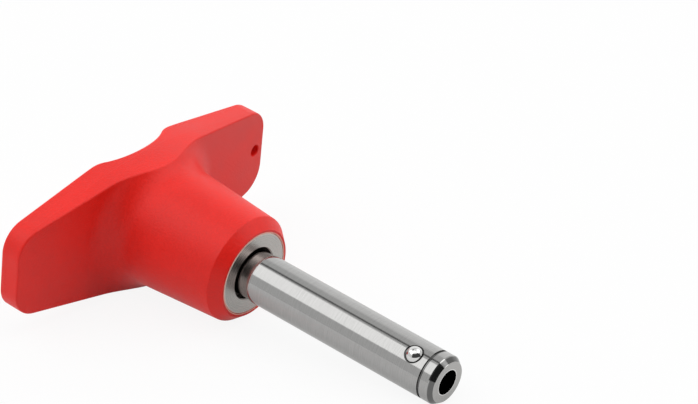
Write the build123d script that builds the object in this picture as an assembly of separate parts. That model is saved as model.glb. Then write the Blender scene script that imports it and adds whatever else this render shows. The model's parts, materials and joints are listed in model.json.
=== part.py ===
from build123d import *
import os
from math import acos, atan2, cos, degrees, hypot, radians, sin, sqrt, tan

os.makedirs("parts", exist_ok=True)

# Ball lock pin with a T-handle, in millimetres.
# The pieces are modelled in the pin's own axes: Z runs along the shank towards the push button, with
# Z = 0 at the shoulder ring, and X runs along the handle towards the lanyard hole.
# At the end they are laid down as the pin comes to rest on a table.

# ---- shank ----
shank_d = 10.0                # nominal pin diameter
shank_length = 47.75          # shoulder to tip face
tip_chamfer = 0.8             # radial size of the lead chamfer
tip_chamfer_length = 1.1
neck_relief = 0.2             # how far the neck is turned down, next to the shoulder
neck_length = 2.6
shank_edge = 0.12
collar_length = 5.0           # collar that is pressed into the sleeve
marking_groove_from_tip = 3.1
marking_groove_width = 0.6
marking_groove_depth = 0.25

# ---- locking balls ----
ball_d = 3.5
ball_from_tip = 6.55          # ball centre to tip face
ball_stand_out = 1.05         # how far a locked ball stands out of the shank
ball_angle = 60.0             # turn of the first ball about the pin's axis, from the handle's length
ball_hole_gap = 0.04          # radial gap between ball and hole
ball_lip_gap = 0.05           # gap between ball and staked lip
ball_lip_depth = 0.45
ball_backing_gap = 0.10       # gap between a locked ball and the spindle's land
ball_flush_margin = 0.03      # how far below the shank's surface a released ball sinks
stake_mark_width = 0.2        # staking mark round each ball hole
stake_mark_depth = 0.2

# ---- sleeve in the hub ----
sleeve_wall = 1.5
neck_gap = 0.6                # clearance round the neck
sleeve_floor = 4.0            # shoulder face to the collar's seat
sleeve_edge = 0.2
anchor_groove_depth = 0.6
anchor_groove_width = 3.0
anchor_groove_pitch = 9.0
anchor_groove_start = 5.5
anchor_groove_count = 2

# ---- button ring and push button ----
ring_below_top = 4.55         # the button ring's face below the flat of the wings
ring_overhang = 0.85          # how far the ring covers the plastic round the sleeve
ring_spigot_wall = 1.05
ring_flange = 1.4
ring_spigot = 1.65
ring_chamfer = 0.5
ring_hole_chamfer = 0.3
button_d = 10.6
button_hole_gap = 0.65        # clearance round the button in its ring
button_height = 5.45          # how far it stands above the button ring
button_chamfer = 0.45
button_stroke = 5.0
button_flange = 2.6
button_flange_gap = 0.05      # radial running gap in the sleeve
button_stop_gap = 0.05        # gap under the button ring at rest
button_socket_depth = 7.5     # blind hole for the spindle's tail

# ---- spindle ----
spindle_gap = 0.05            # radial running gap in the shank's bore
spindle_relief = 0.3          # how far the rod is turned down between its guides
spindle_guide_length = 4.0
spindle_land_below_ball = 1.6
spindle_tail_shoulder = 0.5
spindle_tail_length = 7.0
spindle_chamfer = 0.3
groove_floor_gap = 0.07       # gap between a released ball and the groove's floor
groove_end_gap = 0.3

# ---- return spring ----
spring_wire_d = 1.0
spring_rod_gap = 1.2          # clearance between the spring and the rod inside it
spring_turns = 6.5

# ---- grip ----
handle_span = 70.0
handle_top = 33.2             # flat of the wings above the shoulder
handle_side_margin = 2.75     # how far the middle of each side stands out past the hub's end
side_angle = 10.2             # how much each wing narrows, per side
side_arc_radius = 77.0        # joins the two straight sides
end_corner_radius = 5.5
parting_below_top = 4.0       # the mould's parting plane below the flat of the wings
draft_angle = 1.0
wing_thickness = 7.0          # beside the hub
wing_root_x = 11.3            # where that is measured
wing_end_thickness = 4.55
underside_middle_radius = 60.0
dish_below_ring = 0.75        # lowest level of the dish below the button ring's face
dish_floor_inset = 3.35       # the dish starts to rise this far inside the ring's edge
dish_radius = 11.0
dish_rim_radius = 2.0
ring_recess_gap = 0.2
hub_end_land = 0.65           # flat plastic round the sleeve's end
hub_end_chamfer = 1.85        # radial size of the chamfer round the hub's end
hub_end_chamfer_height = 2.2
hub_draft = 4.2               # degrees per side
hub_flare_radius = 6.0
hub_edge_round = 0.4
grip_top_round = 0.5
grip_under_round = 0.35
lanyard_hole_d = 2.4
lanyard_hole_from_end = 2.6
lanyard_hole_edge = 0.15

# ---- worked out from the sizes above ----
shank_r = shank_d / 2
neck_r = shank_r - neck_relief
tip_z = -shank_length
collar_top = sleeve_floor + collar_length

ball_r = ball_d / 2
ball_z = tip_z + ball_from_tip
ball_centre_r = shank_r + ball_stand_out - ball_r
ball_travel = ball_stand_out + ball_flush_margin
ball_angles = {"ball_1": ball_angle, "ball_2": ball_angle + 180}

# The bore's wall is level with the inner side of the locked balls.
bore_r = ball_centre_r - ball_r
rod_r = bore_r - spindle_gap
spindle_tail_r = rod_r - spindle_tail_shoulder
spring_r = rod_r + spring_rod_gap + spring_wire_d / 2

ring_hole_d = button_d + 2 * button_hole_gap
sleeve_bore_d = ring_hole_d + 2 * ring_spigot_wall
sleeve_hole_d = 2 * (neck_r + neck_gap)
sleeve_d = sleeve_bore_d + 2 * sleeve_wall
ring_d = sleeve_d + 2 * ring_overhang

ring_top = handle_top - ring_below_top
ring_flange_bottom = ring_top - ring_flange
ring_bottom = ring_flange_bottom - ring_spigot
button_top = ring_top + button_height
button_flange_top = ring_bottom - button_stop_gap
button_bottom = button_flange_top - button_flange

hub_end_flat_r = sleeve_d / 2 + hub_end_land
hub_end_r = hub_end_flat_r + hub_end_chamfer
handle_half_width = hub_end_r + handle_side_margin
parting_height = handle_top - parting_below_top
wing_root_z = handle_top - wing_thickness
underside_rise = (wing_thickness - wing_end_thickness) / (handle_span / 2 - wing_root_x)
underside_middle_z = wing_root_z - wing_root_x * underside_rise
dish_floor_r = ring_d / 2 - dish_floor_inset
dish_floor_height = ring_top - dish_below_ring
lanyard_hole_x = handle_span / 2 - lanyard_hole_from_end


def disc(diameter, bottom, top):
    """A cylinder about the pin's axis between two heights."""
    return Pos(0, 0, bottom) * extrude(Circle(diameter / 2), top - bottom)


def turned(*points):
    """A solid turned about the pin's axis from its (radius, height) corners."""
    return revolve(Plane.XZ * make_face(Polyline(*points, close=True)), Axis.Z)


def outward(angle):
    """A frame at ball height whose Z points away from the pin's axis."""
    away = Vector(cos(radians(angle)), sin(radians(angle)), 0)
    return Location(Plane((0, 0, ball_z), x_dir=(0, 0, 1), z_dir=away))


# ---- grip ----
def handle_outline():
    """Plan of the handle: two straight tapering wings joined by a large arc, with rounded ends."""
    turn = radians(side_angle)
    end_x = handle_span / 2
    apex_y = handle_half_width + side_arc_radius * (1 / cos(turn) - 1)
    end_y = apex_y - end_x * tan(turn)
    plan = make_face(
        Polyline((end_x, end_y), (0, apex_y), (-end_x, end_y), (-end_x, -end_y), (0, -apex_y),
                 (end_x, -end_y), close=True)
    )
    plan = fillet([v for v in plan.vertices() if abs(v.X) < 0.01], side_arc_radius)
    corners = [v for v in plan.vertices() if abs(abs(v.X) - end_x) < 0.01]
    return fillet(corners, end_corner_radius)


def side_view():
    """The handle seen from its side: flat wings on top, undersides that rise towards the ends."""
    reach = handle_span / 2 + 1
    end_z = underside_middle_z + reach * underside_rise
    outline = Polyline((-reach, handle_top), (reach, handle_top), (reach, end_z),
                       (0, underside_middle_z), (-reach, end_z), close=True)
    view = make_face(outline)
    middle = view.vertices().sort_by_distance((0, underside_middle_z))[0]
    return extrude(Plane.XZ * fillet(middle, underside_middle_radius), handle_span, both=True)


def hub_section():
    """Half section of the tapered hub up to the wings."""
    roof = handle_top - 1
    top_r = hub_end_r + (roof - hub_end_chamfer_height) * tan(radians(hub_draft))
    section = make_face(
        Polyline((0, 0), (hub_end_flat_r, 0), (hub_end_r, hub_end_chamfer_height),
                 (top_r, roof), (0, roof), close=True)
    )
    rim = section.vertices().sort_by_distance((hub_end_r, hub_end_chamfer_height))[0]
    return fillet(rim, hub_edge_round)


def flared_form():
    """The wings' undersides and the hub, joined by a wide flare."""
    form = side_view() + revolve(Plane.XZ * hub_section(), Axis.Z)
    root = [e for e in form.edges() if underside_middle_z - 1 < e.center().Z < wing_root_z + 1
            and hypot(e.center().X, e.center().Y) < handle_half_width + 1]
    return fillet(root, hub_flare_radius)


def dish_form():
    """What is hollowed round the button: a bowl whose rim rounds over into the flat wings."""
    bowl_z = dish_floor_height + dish_radius
    rim_z = handle_top - dish_rim_radius
    reach = dish_radius + dish_rim_radius
    rim_r = dish_floor_r + sqrt(reach**2 - (bowl_z - rim_z) ** 2)
    turn = acos((bowl_z - rim_z) / reach)

    def on_bowl(angle):
        return dish_floor_r + dish_radius * sin(angle), bowl_z - dish_radius * cos(angle)

    def on_rim(angle):
        return rim_r - dish_rim_radius * sin(angle), rim_z + dish_rim_radius * cos(angle)

    roof = handle_top + 1
    outline = Line((0, dish_floor_height), on_bowl(0))
    outline += ThreePointArc(on_bowl(0), on_bowl(turn / 2), on_bowl(turn))
    outline += ThreePointArc(on_bowl(turn), on_rim(turn / 2), on_rim(0))
    outline += Polyline(on_rim(0), (rim_r, roof), (0, roof), (0, dish_floor_height))
    return revolve(Plane.XZ * make_face(outline), Axis.Z)


def sleeve_form():
    """Outside of the steel sleeve, with the grooves that the plastic grips."""
    form = disc(sleeve_d, 0, ring_flange_bottom)
    for i in range(anchor_groove_count):
        bottom = anchor_groove_start + anchor_groove_pitch * i
        top = bottom + anchor_groove_width
        form -= disc(sleeve_d + 1, bottom, top) - disc(sleeve_d - 2 * anchor_groove_depth, bottom, top)
    return form


def outline_edges(body, lowest, highest):
    """Edges of the handle's drafted sides between two heights, without the upright ones."""
    sides = [f for f in body.faces() if abs(f.normal_at().Z) < 0.1 and f.center().Z > wing_root_z - 1]
    rims = [e for f in sides for e in f.edges() if lowest < e.center().Z < highest]
    return [e for e in body.edges() if e in rims and abs(e.tangent_at(0.5).Z) < 0.8]


def make_grip():
    plan = Pos(0, 0, parting_height) * handle_outline()
    above = extrude(plan, handle_top - parting_height, taper=draft_angle)
    below = extrude(plan, parting_height, dir=(0, 0, -1), taper=draft_angle)
    body = flared_form() & (above + below)
    body -= dish_form()
    body = fillet(outline_edges(body, parting_height + 0.5, handle_top + 1), grip_top_round)
    body = fillet(outline_edges(body, wing_root_z - 2, parting_height - 0.1), grip_under_round)
    body -= sleeve_form()
    body -= disc(ring_d + 2 * ring_recess_gap, ring_flange_bottom, handle_top)
    body -= Pos(lanyard_hole_x, 0) * disc(lanyard_hole_d, 0, handle_top + 1)
    near = [e for e in body.edges() if (e.center() - Vector(lanyard_hole_x, 0, e.center().Z)).length
            < lanyard_hole_d]
    return chamfer([e for e in near if e.geom_type != GeomType.LINE], lanyard_hole_edge)


# ---- steel pieces ----
def make_core_sleeve():
    body = sleeve_form() - disc(sleeve_hole_d, 0, sleeve_floor)
    body -= disc(sleeve_bore_d, sleeve_floor, ring_flange_bottom)
    end_edges = body.edges().filter_by(GeomType.CIRCLE).group_by(Axis.Z)[0]
    return chamfer(end_edges, sleeve_edge)


def make_button_ring():
    r = ring_d / 2
    hole_r = ring_hole_d / 2
    spigot_r = sleeve_bore_d / 2
    return turned((hole_r, ring_bottom), (spigot_r, ring_bottom), (spigot_r, ring_flange_bottom),
                  (r, ring_flange_bottom), (r, ring_top - ring_chamfer), (r - ring_chamfer, ring_top),
                  (hole_r + ring_hole_chamfer, ring_top), (hole_r, ring_top - ring_hole_chamfer))


def make_shank():
    collar_r = sleeve_bore_d / 2
    body = turned((bore_r, collar_top), (collar_r, collar_top), (collar_r, sleeve_floor),
                  (neck_r, sleeve_floor), (neck_r, -neck_length), (shank_r - shank_edge, -neck_length),
                  (shank_r, -neck_length - shank_edge), (shank_r, tip_z + tip_chamfer_length),
                  (shank_r - tip_chamfer, tip_z), (bore_r, tip_z))
    mark_z = tip_z + marking_groove_from_tip
    half_width = marking_groove_width / 2
    body -= turned((shank_r + 1, mark_z - half_width), (shank_r + 1, mark_z + half_width),
                   (shank_r - marking_groove_depth, mark_z + half_width),
                   (shank_r - marking_groove_depth, mark_z - half_width))
    hole_r = ball_r + ball_hole_gap
    floor_r = shank_r - stake_mark_depth
    lip_r = sqrt(ball_r**2 - (floor_r - ball_centre_r) ** 2) + ball_lip_gap
    lip_start = shank_r - ball_lip_depth
    skin = disc(shank_d + 1, ball_z - ball_d, ball_z + ball_d)
    skin -= disc(2 * floor_r, ball_z - ball_d, ball_z + ball_d)
    for angle in ball_angles.values():
        hole = extrude(Circle(hole_r), lip_start)
        hole += Pos(0, 0, lip_start + ball_lip_depth / 2) * Cone(hole_r, lip_r, ball_lip_depth)
        hole += Pos(0, 0, shank_r) * extrude(Circle(lip_r), 1)
        stake = extrude(Circle(ball_r + stake_mark_width), shank_d)
        body -= outward(angle) * hole
        body -= (outward(angle) * stake) & skin
    return body


def make_push_button():
    r = button_d / 2
    flange_r = sleeve_bore_d / 2 - button_flange_gap
    socket_top = button_bottom + button_socket_depth
    return turned((0, button_top), (r - button_chamfer, button_top), (r, button_top - button_chamfer),
                  (r, button_flange_top), (flange_r, button_flange_top), (flange_r, button_bottom),
                  (spindle_tail_r, button_bottom), (spindle_tail_r, socket_top), (0, socket_top))


def make_spindle():
    """Land behind the locked balls, then a ramp and a groove that lets them in, then the rod."""
    relief_r = rod_r - spindle_relief
    land_r = ball_centre_r - ball_r - ball_backing_gap
    groove_r = ball_centre_r - ball_travel - ball_r - groove_floor_gap
    slope = ball_travel / button_stroke
    # The ramp runs parallel to the balls' path, one ball radius away from it.
    ramp_start = ball_z + (ball_backing_gap - ball_r * (sqrt(1 + slope**2) - 1)) / slope
    ramp_end = ramp_start + (land_r - groove_r) / slope
    land_end = ball_z - spindle_land_below_ball
    groove_end = ball_z + button_stroke + ball_r + groove_end_gap
    guide_start = groove_end + rod_r - groove_r
    guide_end = guide_start + spindle_guide_length
    relief_end = collar_top - spindle_guide_length
    return turned((0, land_end), (land_r - spindle_chamfer, land_end),
                  (land_r, land_end + spindle_chamfer), (land_r, ramp_start), (groove_r, ramp_end),
                  (groove_r, groove_end), (rod_r, guide_start), (rod_r, guide_end),
                  (relief_r, guide_end), (relief_r, relief_end), (rod_r, relief_end),
                  (rod_r, button_bottom), (spindle_tail_r, button_bottom),
                  (spindle_tail_r, button_bottom + spindle_tail_length),
                  (0, button_bottom + spindle_tail_length))


def make_spring():
    """A round-wire compression spring standing between the collar and the button."""
    rise = button_bottom - collar_top - spring_wire_d
    coil = Helix(rise / spring_turns, rise, spring_r)
    start = Plane(coil @ 0, z_dir=coil % 0)
    wire = sweep(start * Circle(spring_wire_d / 2), path=coil, is_frenet=True)
    return Pos(0, 0, collar_top + spring_wire_d / 2) * wire


def make_ball(angle):
    return outward(angle) * Pos(0, 0, ball_centre_r) * Sphere(ball_r)


pieces = {
    "grip": make_grip(),
    "core_sleeve": make_core_sleeve(),
    "button_ring": make_button_ring(),
    "shank": make_shank(),
    "spindle": make_spindle(),
    "push_button": make_push_button(),
    "return_spring": make_spring(),
}
for name, angle in ball_angles.items():
    pieces[name] = make_ball(angle)

# ---- laid down at rest ----
def rest_lean(grip):
    """Angle between the pin's axis and the table.

    The handle is level. The pin lies on the rim of its tip chamfer and on the part of its grip that
    reaches lowest: the middle of the handle's side, or the edge of the hub's end.
    """
    rim_z = tip_z + tip_chamfer_length
    steps = [i / 50 for i in range(51)]
    middle = section(grip, section_by=Plane.YZ)
    points = [edge.position_at(step) for edge in middle.edges() for step in steps]
    return max(atan2(point.Y - shank_r, point.Z - rim_z) for point in points)


lean = rest_lean(pieces["grip"])
button_way = Vector(-cos(lean), 0, sin(lean))
lying = Location(Plane((0, 0, 0), x_dir=(0, 1, 0), z_dir=button_way))
box = Compound([lying * piece for piece in pieces.values()]).bounding_box()
placing = Pos(-box.center().X, -box.center().Y, -box.min.Z) * lying

for name, piece in pieces.items():
    export_step(placing * piece, f"parts/{name}.step")

shoulder = placing.position
print("size", box.size, "lean", degrees(lean))
print("shoulder", shoulder, "towards the button", button_way)
print("ball travel", ball_travel, "for a stroke of", button_stroke)
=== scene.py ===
import json
import math

import bpy
from mathutils import Matrix, Vector


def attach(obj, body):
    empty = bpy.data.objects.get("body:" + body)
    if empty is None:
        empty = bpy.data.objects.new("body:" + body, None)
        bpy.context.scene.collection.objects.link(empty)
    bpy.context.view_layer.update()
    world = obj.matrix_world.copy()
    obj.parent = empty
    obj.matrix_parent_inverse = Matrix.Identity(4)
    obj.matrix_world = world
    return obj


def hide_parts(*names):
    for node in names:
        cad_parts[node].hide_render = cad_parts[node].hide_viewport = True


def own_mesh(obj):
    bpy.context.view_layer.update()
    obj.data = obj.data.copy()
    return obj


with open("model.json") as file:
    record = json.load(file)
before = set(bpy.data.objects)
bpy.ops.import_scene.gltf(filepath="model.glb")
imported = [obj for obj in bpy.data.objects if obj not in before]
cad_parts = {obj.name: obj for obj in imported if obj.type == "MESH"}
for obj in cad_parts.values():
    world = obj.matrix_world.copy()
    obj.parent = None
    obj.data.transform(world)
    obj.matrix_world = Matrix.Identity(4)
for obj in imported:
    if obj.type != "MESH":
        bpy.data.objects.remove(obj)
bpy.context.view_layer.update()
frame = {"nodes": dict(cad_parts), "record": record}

MM = 0.001
scene = bpy.context.scene
scene.view_settings.view_transform = "Standard"
nodes = frame["nodes"]
mounts = {mount["name"]: mount for mount in frame["record"]["mounts"]}

# ---- the pin's own axes: Z runs from the shoulder ring to the button, X along the handle ----
to_tip = Vector(mounts["pin_shank"]["axis"]).normalized()
on_axis = Vector(mounts["pin_shank"]["pos_m"])
on_shoulder = Vector(mounts["shoulder_face"]["pos_m"])
shoulder = on_axis + to_tip * (on_shoulder - on_axis).dot(to_tip)
pin_z = -to_tip
pin_x = Vector((0, 1, 0))
pin_y = pin_z.cross(pin_x)
pin_turn = Matrix((pin_x, pin_y, pin_z)).transposed()


def pin_point(x, y, z):
    """A point given in the pin's own axes in millimetres, in the shared frame."""
    return shoulder + pin_turn @ Vector((x, y, z)) * MM


def reach(node):
    """A CAD node's lowest and highest Z and its smallest and largest radius, in pin millimetres."""
    to_pin = pin_turn.transposed()
    heights = []
    radii = []
    for vertex in nodes[node].data.vertices:
        place = to_pin @ (vertex.co - shoulder) / MM
        heights.append(place.z)
        radii.append(place.xy.length)
    return {
        "low": round(min(heights), 3),
        "high": round(max(heights), 3),
        "inner": round(min(radii), 3),
        "outer": round(max(radii), 3),
    }


grip = reach("grip")
shank = reach("shank")
sleeve = reach("core_sleeve")
button = reach("push_button")
coil = reach("return_spring")
SHANK_RADIUS = mounts["pin_shank"]["dims"]["r_mm"]
NECK_LENGTH = 2.6
NECK_RELIEF = 0.2
NECK_RADIUS = SHANK_RADIUS - NECK_RELIEF

# ---- camera, placed in the pin's own axes ----
LENS_MM = 216.2
SENSOR_MM = 36.0
NEAREST_M = 0.05
FARTHEST_M = 20.0
CAMERA_POINT = (-515.48, -451.75, -409.48)
CAMERA_WAY = (0.667, 0.55, 0.503)
CAMERA_RIGHT = (0.645, -0.087, -0.759)


def make_camera():
    data = bpy.data.cameras.new("camera")
    data.lens = LENS_MM
    data.sensor_width = SENSOR_MM
    data.clip_start = NEAREST_M
    data.clip_end = FARTHEST_M
    camera = bpy.data.objects.new("camera", data)
    scene.collection.objects.link(camera)
    way = (pin_turn @ Vector(CAMERA_WAY)).normalized()
    right = pin_turn @ Vector(CAMERA_RIGHT)
    right = (right - way * right.dot(way)).normalized()
    turn = Matrix((right, right.cross(way), -way)).transposed().to_4x4()
    camera.matrix_world = Matrix.Translation(pin_point(*CAMERA_POINT)) @ turn
    scene.camera = camera


make_camera()

# ---- lamps, with lengths in metres ----
LAMP_DISTANCE = 1.5


def soft_light(name, way, width, height, radiance):
    """A rectangular soft light that faces the object from the given direction."""
    data = bpy.data.lights.new(name, "AREA")
    data.shape = "RECTANGLE"
    data.size = width
    data.size_y = height
    data.energy = radiance * math.pi * width * height
    lamp = bpy.data.objects.new(name, data)
    scene.collection.objects.link(lamp)
    way = Vector(way).normalized()
    turn = way.to_track_quat("Z", "Y").to_matrix().to_4x4()
    lamp.matrix_world = Matrix.Translation(way * LAMP_DISTANCE) @ turn


soft_light("key_light", way=(-0.404, -0.439, 0.803), width=1.8, height=1.05, radiance=1.1)
soft_light("right_light", way=(0.41, 0.457, 0.788), width=1.3, height=0.75, radiance=2.0)


# ---- node helper ----
# The Mix node's colour sockets, which share their names with its other sockets.
MIX_FIRST = 6
MIX_SECOND = 7
MIX_RESULT = 2


def shade(color, share):
    """The same colour, darker or lighter."""
    return tuple(share * part for part in color)


class Graph:
    """Adds and links the nodes of one shader."""

    def __init__(self, tree):
        self.tree = tree

    def add(self, kind, **settings):
        node = self.tree.nodes.new(kind)
        for key, value in settings.items():
            setattr(node, key, value)
        return node

    def put(self, value, socket):
        """Links a socket, or sets a plain value."""
        if isinstance(value, bpy.types.NodeSocket):
            self.tree.links.new(value, socket)
        else:
            socket.default_value = value

    def math(self, operation, first, second):
        node = self.add("ShaderNodeMath", operation=operation)
        self.put(first, node.inputs[0])
        self.put(second, node.inputs[1])
        return node.outputs[0]

    def plus(self, first, second):
        return self.math("ADD", first, second)

    def times(self, first, second):
        return self.math("MULTIPLY", first, second)

    def rest_of(self, share):
        """What a share leaves of 1."""
        return self.math("SUBTRACT", 1.0, share)

    def vector(self, operation, first, second=(0, 0, 0), out="Vector"):
        node = self.add("ShaderNodeVectorMath", operation=operation)
        self.put(first, node.inputs[0])
        self.put(second, node.inputs[1])
        return node.outputs[out]

    def height(self, vector):
        """The Z part of a vector."""
        node = self.add("ShaderNodeSeparateXYZ")
        self.put(vector, node.inputs[0])
        return node.outputs[2]

    def ramp(self, value, low, high, to_low=0.0, to_high=1.0):
        """A smooth step from one value to another; low may be above high."""
        if low > high:
            low, high, to_low, to_high = high, low, to_high, to_low
        node = self.add("ShaderNodeMapRange", interpolation_type="SMOOTHSTEP")
        for number, item in enumerate((value, low, high, to_low, to_high)):
            self.put(item, node.inputs[number])
        return node.outputs[0]

    def band(self, value, low, high, soft):
        """1 between two values and 0 outside, with soft edges."""
        rise = self.ramp(value, low - soft, low + soft)
        fall = self.ramp(value, high + soft, high - soft)
        return self.times(rise, fall)

    def blend(self, factor, first, second):
        """A colour that goes from the first to the second as the factor rises."""
        node = self.add("ShaderNodeMix", data_type="RGBA")
        self.put(factor, node.inputs[0])
        for color, number in ((first, MIX_FIRST), (second, MIX_SECOND)):
            self.put((*color, 1) if isinstance(color, tuple) else color, node.inputs[number])
        return node.outputs[MIX_RESULT]

    def noise(self, vector, scale, detail=2.0, roughness=0.5):
        node = self.add("ShaderNodeTexNoise")
        self.put(vector, node.inputs["Vector"])
        node.inputs["Scale"].default_value = scale
        node.inputs["Detail"].default_value = detail
        node.inputs["Roughness"].default_value = roughness
        return node.outputs["Fac"]

    def lines(self, value, scale, detail):
        """Random parallel lines across a value, as a cutting tool leaves them."""
        node = self.add("ShaderNodeTexNoise", noise_dimensions="1D")
        self.put(value, node.inputs["W"])
        node.inputs["Scale"].default_value = scale
        node.inputs["Detail"].default_value = detail
        return node.outputs["Fac"]


# ---- world: a pale room, dark low down behind the camera and along one strip of its ceiling ----
# Heights are the Z of a direction, so 0 is the horizon and 1 is straight up.
SIDE_WALL = 0.80
BACK_WALL = 1.15
BACK_WAY = (-0.707, 0.707, 0)     # behind the object
BACK_SIDES = (0.45, 0.75)
BACK_TOP = (0.78, 0.62)
DARK_ROOM = 0.08
DARK_WAY = (0.866, -0.5, 0)       # behind the camera and to its right
DARK_SIDES = (0.50, 0.60)
DARK_TOP = (0.80, 0.70)
CEILING = 0.80
CEILING_EDGE = (0.70, 0.85)
STRIP_WAY = (-0.02, 0.986, -0.164)
STRIP_SIDES = (-0.075, 0.050)
STRIP_SOFT = 0.006
STRIP_START = (0.55, 0.70)
STRIP_DEPTH = 0.78
OVERHEAD = 0.5
OVERHEAD_EDGE = (0.93, 0.96)
FRONT_TOP = 0.6
FRONT_SIDES = (0.35, 0.60)
FRONT_START = (0.80, 0.86)


def make_world():
    world = bpy.data.worlds.new("studio")
    world.use_nodes = True
    room = Graph(world.node_tree)
    background = world.node_tree.nodes["Background"]
    way = room.add("ShaderNodeTexCoord").outputs["Generated"]
    height = room.height(way)
    level = room.vector("NORMALIZE", room.vector("MULTIPLY", way, (1, 1, 0)))
    toward_back = room.vector("DOT_PRODUCT", level, BACK_WAY, out="Value")
    toward_dark = room.vector("DOT_PRODUCT", level, DARK_WAY, out="Value")
    low_back = room.times(room.ramp(toward_back, *BACK_SIDES), room.ramp(height, *BACK_TOP))
    low_dark = room.times(room.ramp(toward_dark, *DARK_SIDES), room.ramp(height, *DARK_TOP))
    light = room.plus(room.times(low_back, BACK_WALL - SIDE_WALL), SIDE_WALL)
    ceiling = room.ramp(height, *CEILING_EDGE)
    light = room.plus(room.times(light, room.rest_of(ceiling)), room.times(ceiling, CEILING))
    across_strip = room.vector("DOT_PRODUCT", way, STRIP_WAY, out="Value")
    strip = room.times(room.band(across_strip, *STRIP_SIDES, STRIP_SOFT), room.ramp(height, *STRIP_START))
    light = room.times(light, room.rest_of(room.times(strip, STRIP_DEPTH)))
    light = room.plus(light, room.times(room.ramp(height, *OVERHEAD_EDGE), OVERHEAD))
    front_top = room.times(room.ramp(toward_dark, *FRONT_SIDES), room.ramp(height, *FRONT_START))
    light = room.plus(light, room.times(front_top, FRONT_TOP))
    lit = room.rest_of(room.times(low_dark, 1.0 - DARK_ROOM))
    room.put(room.times(light, lit), background.inputs["Strength"])
    background.inputs["Color"].default_value = (1, 1, 1, 1)
    scene.world = world


make_world()

# ---- floor, which the camera sees nearly white and which keeps the object's shadow ----
FLOOR_COLOR = (0.80, 0.80, 0.80, 1)
FLOOR_HALF = 6.0
SEEN_WHITE = 0.9          # how much of what the camera sees is plain white
MIRRORED_SHARE = 0.5      # how much of that white is left in a mirrored view


def make_floor():
    material = bpy.data.materials.new("floor_white")
    material.use_nodes = True
    tree = material.node_tree
    graph = Graph(tree)
    tree.nodes.remove(tree.nodes["Principled BSDF"])
    diffuse = graph.add("ShaderNodeBsdfDiffuse")
    diffuse.inputs["Color"].default_value = FLOOR_COLOR
    white = graph.add("ShaderNodeEmission")
    white.inputs["Color"].default_value = (1, 1, 1, 1)
    path = graph.add("ShaderNodeLightPath").outputs
    mirrored = graph.math("MAXIMUM", path["Is Glossy Ray"], path["Is Transmission Ray"])
    seen = graph.math("MAXIMUM", path["Is Camera Ray"], graph.times(mirrored, MIRRORED_SHARE))
    mix = graph.add("ShaderNodeMixShader")
    graph.put(graph.times(seen, SEEN_WHITE), mix.inputs[0])
    graph.put(diffuse.outputs[0], mix.inputs[1])
    graph.put(white.outputs[0], mix.inputs[2])
    graph.put(mix.outputs[0], tree.nodes["Material Output"].inputs["Surface"])
    corners = [(x * FLOOR_HALF, y * FLOOR_HALF, 0) for x, y in ((-1, -1), (1, -1), (1, 1), (-1, 1))]
    mesh = bpy.data.meshes.new("floor")
    mesh.from_pydata(corners, [], [(0, 1, 2, 3)])
    mesh.materials.append(material)
    floor = bpy.data.objects.new("floor", mesh)
    scene.collection.objects.link(floor)


make_floor()


# ---- materials ----
class Finish(Graph):
    """One material of the pin, with coordinates in the pin's own axes in millimetres."""

    def __init__(self, name, color, metallic=1.0):
        self.material = bpy.data.materials.new(name)
        self.material.use_nodes = True
        super().__init__(self.material.node_tree)
        self.color = color
        self.surface = self.tree.nodes["Principled BSDF"]
        self.surface.inputs["Metallic"].default_value = metallic
        own = self.add("ShaderNodeMapping", vector_type="TEXTURE")
        own.inputs["Location"].default_value = shoulder
        own.inputs["Rotation"].default_value = pin_turn.to_euler()
        own.inputs["Scale"].default_value = (MM, MM, MM)
        self.place = self.add("ShaderNodeTexCoord").outputs["Object"]
        self.put(self.place, own.inputs["Vector"])
        self.point = own.outputs["Vector"]
        self.z = self.height(self.point)
        across = self.vector("MULTIPLY", self.point, (1, 1, 0))
        self.radius = self.vector("LENGTH", across, out="Value")

    def set(self, socket, value):
        self.put(value, self.surface.inputs[socket])

    def shades(self, factor, darkest, lightest):
        """The material's colour, varied between two shares of its strength as the factor rises."""
        return self.blend(factor, shade(self.color, darkest), shade(self.color, lightest))

    def mixed(self, first, first_share, second, second_share):
        """The sum of two patterns, each at its own strength."""
        return self.plus(self.times(first, first_share), self.times(second, second_share))

    def bump(self, height, depth, under=None):
        """Relief of a depth in millimetres, on top of another relief if one is given."""
        node = self.add("ShaderNodeBump")
        node.inputs["Strength"].default_value = 1.0
        node.inputs["Distance"].default_value = depth * MM
        self.put(height, node.inputs["Height"])
        if under is not None:
            self.put(under, node.inputs["Normal"])
        return node.outputs["Normal"]

    def turned(self, amount):
        """Stretches the gloss across the tool marks, which run round the pin's axis."""
        arm = self.vector("SUBTRACT", self.place, tuple(shoulder))
        around = self.vector("CROSS_PRODUCT", tuple(pin_z), arm)
        self.set("Tangent", self.vector("NORMALIZE", around))
        self.surface.inputs["Anisotropic"].default_value = amount


# ---- red plastic, moulded with a faint grain, a parting seam and a painted highlight as a pale edge round the steel ring ----
RED = (0.80, 0.010, 0.004)
PLASTIC_SPECULAR = 0.34
# Painted highlight: the plastic's edge round the steel ring is painted pale, as if it caught the light.
PLASTIC_EDGE_HIGHLIGHT = (0.90, 0.42, 0.34)
PLASTIC_HIGHLIGHT_SIDES = (sleeve["outer"] - 0.05, sleeve["outer"] + 0.20)
PLASTIC_HIGHLIGHT_SOFT = 0.03
PLASTIC_HIGHLIGHT_HEIGHT = (0.15, 0.05)
PARTING_BELOW_TOP = 4.0
SEAM_Z = grip["high"] - PARTING_BELOW_TOP
SEAM_HALF = 0.06
SEAM_SOFT = 0.05


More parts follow.
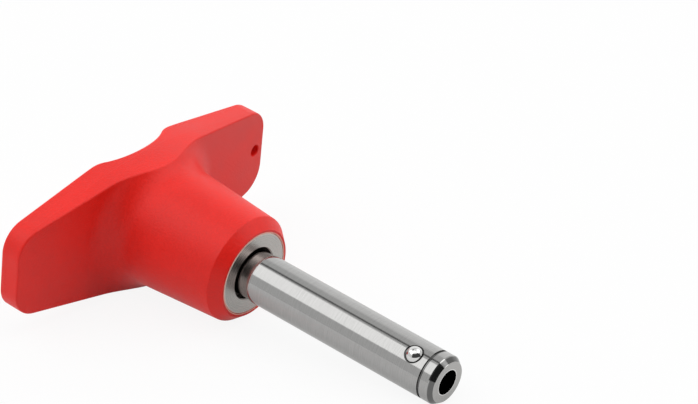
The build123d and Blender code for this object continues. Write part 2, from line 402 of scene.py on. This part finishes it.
def red_plastic():
    plastic = Finish("red_plastic", RED, metallic=0.0)
    plastic.surface.inputs["Specular IOR Level"].default_value = PLASTIC_SPECULAR
    cloud = plastic.noise(plastic.point, scale=0.09)
    grain = plastic.noise(plastic.point, scale=2.6, detail=3.0, roughness=0.6)
    fine = plastic.noise(plastic.point, scale=7.0)
    tint = plastic.ramp(plastic.mixed(cloud, 0.5, grain, 0.5), low=0.3, high=0.7)
    color = plastic.shades(tint, darkest=0.90, lightest=1.06)
    plastic_highlight = plastic.times(plastic.band(plastic.radius, *PLASTIC_HIGHLIGHT_SIDES, PLASTIC_HIGHLIGHT_SOFT),
                         plastic.ramp(plastic.z, *PLASTIC_HIGHLIGHT_HEIGHT))
    plastic.set("Base Color", plastic.blend(plastic_highlight, color, PLASTIC_EDGE_HIGHLIGHT))
    uneven = plastic.plus(grain, cloud)
    plastic.set("Roughness", plastic.ramp(uneven, low=0.6, high=1.4, to_low=0.38, to_high=0.50))
    normal = plastic.bump(grain, depth=0.075)
    normal = plastic.bump(fine, depth=0.020, under=normal)
    seam = plastic.band(plastic.z, SEAM_Z - SEAM_HALF, SEAM_Z + SEAM_HALF, SEAM_SOFT)
    plastic.set("Normal", plastic.bump(seam, depth=0.015, under=normal))
    return plastic.material


# ---- ground steel of the shank and the spindle, with a rougher neck, painted shade and highlights, and a tip face painted lighter ----
# Past the neck, whatever lies deeper than the shank's surface is painted darker, a painted shade in the
# grooves, the bore and the spindle.
GROUND = (0.38, 0.378, 0.372)
NECK = (0.40, 0.35, 0.34)
NECK_START = (-NECK_LENGTH - 0.3, -NECK_LENGTH)
NECK_ROUGHER = 0.11
NECK_DEEPER = 5.0
SUNK_SHADE = (0.07, 0.07, 0.07)
SUNK_RADIUS = (SHANK_RADIUS - 0.07, NECK_RADIUS)
SUNK_SHADE_SHARE = 0.8
# Painted light: the tip face is painted a little lighter than the shank, standing in for the light it
# reflects.
LIGHTER_TIP_FACE = (0.40, 0.395, 0.385)
TIP_FACE_START = (shank["low"] + 0.09, shank["low"] + 0.03)
# Painted highlight: a light ring round the bore, where its edge would catch the light.
BORE_LIP_HIGHLIGHT = (0.72, 0.71, 0.70)
BORE_LIP_RADIUS = (shank["inner"] + 0.20, shank["inner"] + 0.10)
# Painted highlight: a pale pinkish line at the shank's start, where its edge catches the light.
STEEL_EDGE_HIGHLIGHT = (0.85, 0.80, 0.78)
STEEL_EDGE_SIDES = (-NECK_LENGTH - 0.14, -NECK_LENGTH)
STEEL_EDGE_SOFT = 0.02
STEEL_EDGE_RADIUS = (NECK_RADIUS, NECK_RADIUS + 0.04)
STEEL_EDGE_ROUGHER = 0.40
STREAK_SCALE = (0.5, 0.5, 7.0)


def ground_steel():
    steel = Finish("ground_steel", GROUND)
    rings = steel.lines(steel.z, scale=9.0, detail=4.0)
    streaks = steel.noise(steel.vector("MULTIPLY", steel.point, STREAK_SCALE), scale=1.0, detail=3.0)
    neck = steel.ramp(steel.z, *NECK_START)
    # Painted shade: past the neck, what lies below the shank's surface is darkened.
    sunk_shade = steel.times(steel.ramp(steel.radius, *SUNK_RADIUS), steel.rest_of(neck))
    face = steel.ramp(steel.z, *TIP_FACE_START)
    lip_highlight = steel.ramp(steel.radius, *BORE_LIP_RADIUS)
    edge_highlight = steel.times(steel.band(steel.z, *STEEL_EDGE_SIDES, STEEL_EDGE_SOFT),
                       steel.ramp(steel.radius, *STEEL_EDGE_RADIUS))
    mottle = steel.ramp(steel.mixed(rings, 0.6, streaks, 0.4), low=0.35, high=0.65)
    color = steel.shades(mottle, darkest=0.90, lightest=1.06)
    color = steel.blend(neck, color, NECK)
    color = steel.blend(steel.times(sunk_shade, SUNK_SHADE_SHARE), color, SUNK_SHADE)
    color = steel.blend(face, color, steel.blend(lip_highlight, LIGHTER_TIP_FACE, BORE_LIP_HIGHLIGHT))
    steel.set("Base Color", steel.blend(edge_highlight, color, STEEL_EDGE_HIGHLIGHT))
    shine = steel.ramp(steel.plus(rings, streaks), low=0.7, high=1.3, to_low=0.06, to_high=0.10)
    steel.set("Roughness", steel.plus(shine, steel.mixed(neck, NECK_ROUGHER, edge_highlight, STEEL_EDGE_ROUGHER)))
    deepen = steel.plus(steel.times(neck, NECK_DEEPER), 1.0)
    steel.set("Normal", steel.bump(steel.mixed(rings, deepen, streaks, 0.3), depth=0.0005))
    steel.turned(amount=0.85)
    return steel.material


# ---- turned steel, with tool marks on faces and sides and a painted highlight as a pale rim round the shoulder face ----
TURNED = (0.44, 0.427, 0.405)
# Painted highlight: the rim round the shoulder face is painted pale, as if its edge caught the light.
RIM_HIGHLIGHT = (0.85, 0.72, 0.66)
RIM_SIDES = (sleeve["outer"] - 0.22, sleeve["outer"] + 0.10)
RIM_SOFT = 0.02
RIM_HEIGHT = (0.3, 0.2)
RIM_ROUGHER = 0.3


def turned_steel():
    steel = Finish("turned_steel", TURNED)
    facing = steel.lines(steel.radius, scale=7.0, detail=4.0)
    rings = steel.lines(steel.z, scale=6.0, detail=3.0)
    cut = steel.plus(facing, steel.times(rings, 0.5))
    color = steel.shades(steel.ramp(cut, low=0.5, high=1.0), darkest=0.88, lightest=1.08)
    rim_highlight = steel.times(steel.band(steel.radius, *RIM_SIDES, RIM_SOFT), steel.ramp(steel.z, *RIM_HEIGHT))
    steel.set("Base Color", steel.blend(rim_highlight, color, RIM_HIGHLIGHT))
    shine = steel.ramp(cut, low=0.4, high=1.1, to_low=0.22, to_high=0.34)
    steel.set("Roughness", steel.plus(shine, steel.times(rim_highlight, RIM_ROUGHER)))
    steel.set("Normal", steel.bump(cut, depth=0.003))
    steel.turned(amount=0.75)
    return steel.material


# ---- polished steel of the balls ----
BALL = (0.66, 0.66, 0.65)


def ball_steel():
    steel = Finish("ball_steel", BALL)
    haze = steel.noise(steel.point, scale=3.0, detail=3.0)
    steel.set("Base Color", steel.shades(haze, darkest=0.95, lightest=1.03))
    steel.set("Roughness", steel.ramp(haze, low=0.3, high=0.8, to_low=0.03, to_high=0.09))
    steel.set("Normal", steel.bump(steel.noise(steel.point, scale=14.0), depth=0.0002))
    return steel.material


# ---- drawn steel of the spring ----
WIRE = (0.45, 0.44, 0.42)
DRAWN_SCALE = (0.6, 0.6, 6.0)


def spring_steel():
    steel = Finish("spring_steel", WIRE)
    drawn = steel.noise(steel.vector("MULTIPLY", steel.point, DRAWN_SCALE), scale=1.0, detail=3.0)
    steel.set("Base Color", steel.shades(drawn, darkest=0.85, lightest=1.08))
    steel.set("Roughness", steel.ramp(drawn, low=0.3, high=0.7, to_low=0.24, to_high=0.38))
    steel.set("Normal", steel.bump(drawn, depth=0.004))
    return steel.material


def paint(material, *names):
    """Gives CAD nodes their material."""
    for name in names:
        data = nodes[name].data
        data.materials.clear()
        data.materials.append(material)


spring_material = spring_steel()
paint(red_plastic(), "grip")
paint(ground_steel(), "shank", "spindle")
paint(turned_steel(), "core_sleeve", "button_ring", "push_button")
paint(ball_steel(), "ball_1", "ball_2")
paint(spring_material, "return_spring")

# ---- return spring between the shank's collar and the button, shorter when the button goes in ----
COIL_RADIUS = (coil["inner"] + coil["outer"]) / 2
WIRE_RADIUS = (coil["outer"] - coil["inner"]) / 2
COIL_LOW = shank["high"] + WIRE_RADIUS
COIL_HIGH = button["low"] - WIRE_RADIUS
COIL_TURNS = 6.5
COIL_STEPS = 260
WIRE_SIDES = 14


def wire_ring(share):
    """The points round the wire, where the coil has run a share of its length."""
    angle = 2 * math.pi * COIL_TURNS * share
    middle = COIL_LOW + (COIL_HIGH - COIL_LOW) * share
    points = []
    for side in range(WIRE_SIDES):
        turn = 2 * math.pi * side / WIRE_SIDES
        out = COIL_RADIUS + WIRE_RADIUS * math.cos(turn)
        height = middle + WIRE_RADIUS * math.sin(turn)
        points.append(pin_point(out * math.cos(angle), out * math.sin(angle), height))
    return points


def make_spring():
    """A round-wire coil as one closed tube."""
    points = []
    for step in range(COIL_STEPS + 1):
        points += wire_ring(step / COIL_STEPS)
    faces = []
    for step in range(COIL_STEPS):
        here = step * WIRE_SIDES
        there = here + WIRE_SIDES
        for side in range(WIRE_SIDES):
            after = (side + 1) % WIRE_SIDES
            faces.append((here + side, here + after, there + after, there + side))
    end = COIL_STEPS * WIRE_SIDES
    faces.append(tuple(range(WIRE_SIDES)))
    faces.append(tuple(end + side for side in reversed(range(WIRE_SIDES))))
    mesh = bpy.data.meshes.new("coil_spring")
    mesh.from_pydata(points, [], faces)
    mesh.shade_smooth()
    mesh.materials.append(spring_material)
    spring = bpy.data.objects.new("coil_spring", mesh)
    scene.collection.objects.link(spring)
    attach(spring, "body")
    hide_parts("return_spring")
    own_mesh(spring)


make_spring()
